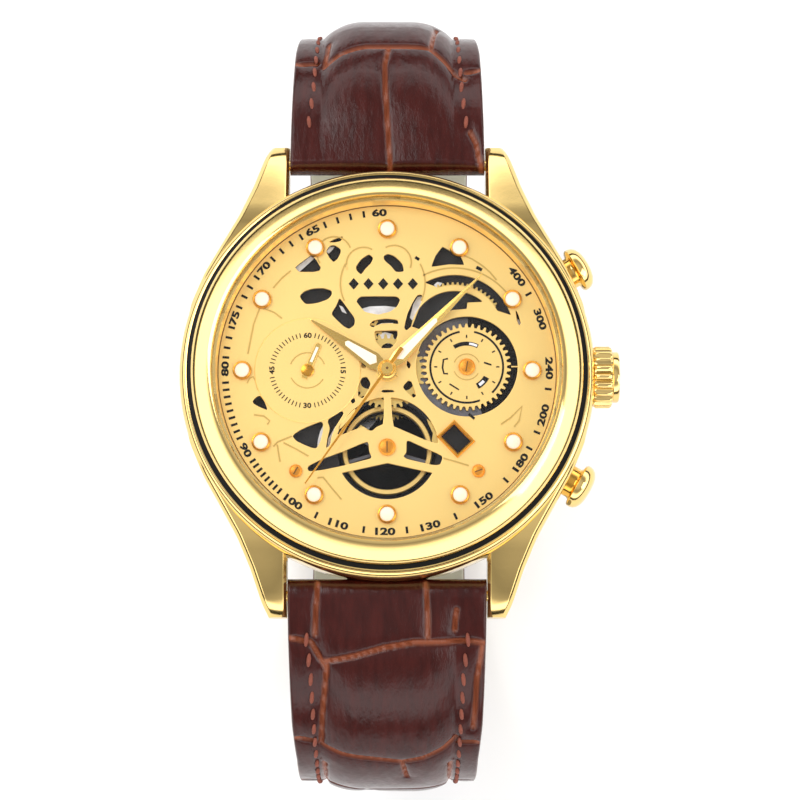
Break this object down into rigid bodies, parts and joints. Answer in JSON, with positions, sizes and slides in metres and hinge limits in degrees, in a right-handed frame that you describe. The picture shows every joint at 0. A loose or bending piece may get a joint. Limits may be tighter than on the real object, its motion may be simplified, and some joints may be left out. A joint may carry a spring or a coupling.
{
  "type": "skeleton wristwatch",
  "caption": "Hand-wound skeleton wristwatch with open balance, small seconds, two pushers, crown and a padded leather strap on spring bars.",
  "frame": {"origin": "on the dial axis, in the outer face of the case back", "axes": "the dial faces +Z, 12 o'clock is +Y, the crown at 3 o'clock is +X"},
  "size_m": [0.0443, 0.0807, 0.0546],
  "materials": {
    "gold_case": "polished yellow gold plating",
    "gold_dial": "satin light gold plating",
    "gold_hands": "polished gold plating",
    "steel": "brushed",
    "dark_plate": "black coated",
    "brass_wheels": "gilt",
    "orange_screws": "orange gilt, polished",
    "jewel_red": "polished synthetic ruby",
    "crystal_glass": "clear, flat",
    "seal_rubber": "matte",
    "strap_leather": "glossy embossed scale pattern",
    "strap_lining": "matte nubuck"
  },
  "bodies": {
    "root": {"case_middle": "gold_case", "bezel": "gold_case", "crystal": "crystal_glass", "case_back": "steel", "case_back_gasket": "seal_rubber", "case_tubes": "steel", "pusher_springs": "steel", "movement_ring": "steel", "lug_spring_bars": "steel", "dial_plate": "gold_dial", "tachymeter_ring": "gold_dial", "hour_plots": "gold_hands", "date_frame": "gold_dial", "small_seconds_disc": "gold_dial", "dial_screws": "orange_screws", "main_plate": "dark_plate", "train_bridge": "steel", "barrel_bridge": "steel", "balance_cock": "steel", "jewels": "jewel_red", "movement_screws": "steel"},
    "minute_train": {"centre_wheel": "brass_wheels", "cannon_pinion": "brass_wheels", "minute_hand": "gold_hands"},
    "hour_train": {"hour_wheel": "brass_wheels", "hour_hand": "gold_hands"},
    "minute_work": {"minute_wheel": "brass_wheels"},
    "display": {"display_wheel": "steel"},
    "third": {"third_wheel": "brass_wheels"},
    "fourth": {"fourth_wheel": "brass_wheels", "small_seconds_hand": "gold_hands"},
    "sweep": {"sweep_arbor": "steel", "seconds_hand": "gold_hands"},
    "escape": {"escape_wheel": "steel"},
    "barrel": {"barrel_drum": "brass_wheels", "mainspring": "steel"},
    "barrel_core": {"barrel_arbor": "steel", "ratchet_wheel": "steel"},
    "winding_crown_wheel": {"crown_wheel": "steel"},
    "click_lever": {"click": "steel"},
    "pallets": {"pallet_fork": "steel"},
    "balance": {"balance_wheel": "brass_wheels", "hairspring": "steel"},
    "stem_carrier": {"setting_lever": "steel"},
    "crown_and_stem": {"crown": "gold_case", "winding_stem": "steel"},
    "pinion_on_stem": {"winding_pinion": "steel"},
    "yoke_lever": {"yoke": "steel"},
    "clutch_on_stem": {"sliding_clutch": "steel"},
    "pusher_at_2": {"start_pusher": "gold_case"},
    "pusher_at_4": {"reset_pusher": "gold_case"},
    "strap_upper": {"strap_12_leather": "strap_leather", "strap_12_lining": "strap_lining", "buckle_spring_bar": "steel", "fixed_keeper": "strap_leather"},
    "strap_lower": {"strap_6_leather": "strap_leather", "strap_6_lining": "strap_lining"},
    "buckle": {"buckle_frame": "gold_case"},
    "tongue": {"buckle_tongue": "gold_case"},
    "loose_keeper": {"free_keeper": "strap_leather"}
  },
  "joints": [
    {"name": "seconds_turn", "type": "hinge", "parent": "root", "child": "sweep", "pos_m": [0, 0, 0.005], "axis": [0, 0, 1], "continuous": true},
    {"name": "minute_turn", "type": "hinge", "parent": "root", "child": "minute_train", "pos_m": [0, 0, 0.005], "axis": [0, 0, 1], "continuous": true},
    {"name": "hour_turn", "type": "hinge", "parent": "root", "child": "hour_train", "pos_m": [0, 0, 0.005], "axis": [0, 0, 1], "continuous": true},
    {"name": "minute_wheel_turn", "type": "hinge", "parent": "root", "child": "minute_work", "pos_m": [-0.00158, 0.00433, 0.005], "axis": [0, 0, 1], "continuous": true},
    {"name": "display_turn", "type": "hinge", "parent": "root", "child": "display", "pos_m": [0.00805, 0.00044, 0.005], "axis": [0, 0, 1], "continuous": true},
    {"name": "third_turn", "type": "hinge", "parent": "root", "child": "third", "pos_m": [-0.00402, 0.00297, 0.005], "axis": [0, 0, 1], "continuous": true},
    {"name": "fourth_turn", "type": "hinge", "parent": "root", "child": "fourth", "pos_m": [-0.00804, 0, 0.005], "axis": [0, 0, 1], "continuous": true},
    {"name": "escape_turn", "type": "hinge", "parent": "root", "child": "escape", "pos_m": [-0.0066, -0.00395, 0.005], "axis": [0, 0, 1], "continuous": true},
    {"name": "barrel_turn", "type": "hinge", "parent": "root", "child": "barrel", "pos_m": [0.00424, 0.00506, 0.005], "axis": [0, 0, 1], "continuous": true, "deforming": ["mainspring"]},
    {"name": "ratchet_turn", "type": "hinge", "parent": "root", "child": "barrel_core", "pos_m": [0.00424, 0.00506, 0.005], "axis": [0, 0, 1], "continuous": true},
    {"name": "crown_wheel_turn", "type": "hinge", "parent": "root", "child": "winding_crown_wheel", "pos_m": [0.0116, 0.00245, 0.005], "axis": [0, 0, 1], "continuous": true},
    {"name": "click_swing", "type": "hinge", "parent": "root", "child": "click_lever", "pos_m": [0.0027, 0.0104, 0.005], "axis": [0, 0, 1], "range_deg": [0, 8], "stiffness_Nm_per_rad": 0.0001},
    {"name": "pallet_swing", "type": "hinge", "parent": "root", "child": "pallets", "pos_m": [-0.00416, -0.00552, 0.005], "axis": [0, 0, 1], "range_deg": [-5, 5]},
    {"name": "balance_swing", "type": "hinge", "parent": "root", "child": "balance", "pos_m": [0, -0.00793, 0.005], "axis": [0, 0, 1], "range_deg": [-135, 135], "stiffness_Nm_per_rad": 0.0000004, "deforming": ["hairspring"]},
    {"name": "crown_pull", "type": "slide", "parent": "root", "child": "stem_carrier", "axis": [1, 0, 0], "range_m": [0, 0.0008]},
    {"name": "crown_turn", "type": "hinge", "parent": "stem_carrier", "child": "crown_and_stem", "pos_m": [0.021, 0, 0.0034], "axis": [1, 0, 0], "continuous": true},
    {"name": "pinion_turn", "type": "hinge", "parent": "root", "child": "pinion_on_stem", "pos_m": [0.0138, 0, 0.0034], "axis": [1, 0, 0], "continuous": true},
    {"name": "clutch_slide", "type": "slide", "parent": "root", "child": "yoke_lever", "axis": [1, 0, 0], "range_m": [-0.00064, 0]},
    {"name": "clutch_turn", "type": "hinge", "parent": "yoke_lever", "child": "clutch_on_stem", "pos_m": [0.0123, 0, 0.0034], "axis": [1, 0, 0], "continuous": true},
    {"name": "start_push", "type": "slide", "parent": "root", "child": "pusher_at_2", "axis": [-0.866, -0.5, 0], "range_m": [0, 0.0008], "stiffness_N_per_m": 1500, "deforming": ["pusher_springs"]},
    {"name": "reset_push", "type": "slide", "parent": "root", "child": "pusher_at_4", "axis": [-0.866, 0.5, 0], "range_m": [0, 0.0008], "stiffness_N_per_m": 1500, "deforming": ["pusher_springs"]},
    {"name": "strap_12_swing", "type": "hinge", "parent": "root", "child": "strap_upper", "pos_m": [0, 0.0224, 0.003], "axis": [1, 0, 0], "range_deg": [-20, 0]},
    {"name": "strap_6_swing", "type": "hinge", "parent": "root", "child": "strap_lower", "pos_m": [0, -0.0224, 0.003], "axis": [-1, 0, 0], "range_deg": [0, 35]},
    {"name": "buckle_swing", "type": "hinge", "parent": "strap_upper", "child": "buckle", "pos_m": [0, -0.00443, -0.0376], "axis": [1, 0, 0], "range_deg": [-60, 0]},
    {"name": "tongue_swing", "type": "hinge", "parent": "strap_upper", "child": "tongue", "pos_m": [0, -0.00443, -0.0376], "axis": [1, 0, 0], "range_deg": [0, 8]},
    {"name": "keeper_slide", "type": "slide", "parent": "strap_upper", "child": "loose_keeper", "axis": [0, 1, 0], "range_m": [0, 0.003]}
  ],
  "couplings": [
    {"joint": "minute_turn", "follows": "seconds_turn", "ratio": 0.016667},
    {"joint": "hour_turn", "follows": "seconds_turn", "ratio": 0.0013889},
    {"joint": "minute_wheel_turn", "follows": "seconds_turn", "ratio": -0.0055556},
    {"joint": "display_turn", "follows": "seconds_turn", "ratio": -0.0011905},
    {"joint": "third_turn", "follows": "seconds_turn", "ratio": -0.13333},
    {"joint": "fourth_turn", "follows": "seconds_turn", "ratio": 1},
    {"joint": "escape_turn", "follows": "seconds_turn", "ratio": -10},
    {"joint": "barrel_turn", "follows": "seconds_turn", "ratio": -0.0020833},
    {"joint": "pinion_turn", "follows": "crown_turn", "ratio": 1},
    {"joint": "clutch_turn", "follows": "crown_turn", "ratio": 1},
    {"joint": "crown_wheel_turn", "follows": "crown_turn", "ratio": 0.40909},
    {"joint": "ratchet_turn", "follows": "crown_turn", "ratio": -0.45},
    {"joint": "clutch_slide", "follows": "crown_pull", "ratio": -0.8}
  ]
}
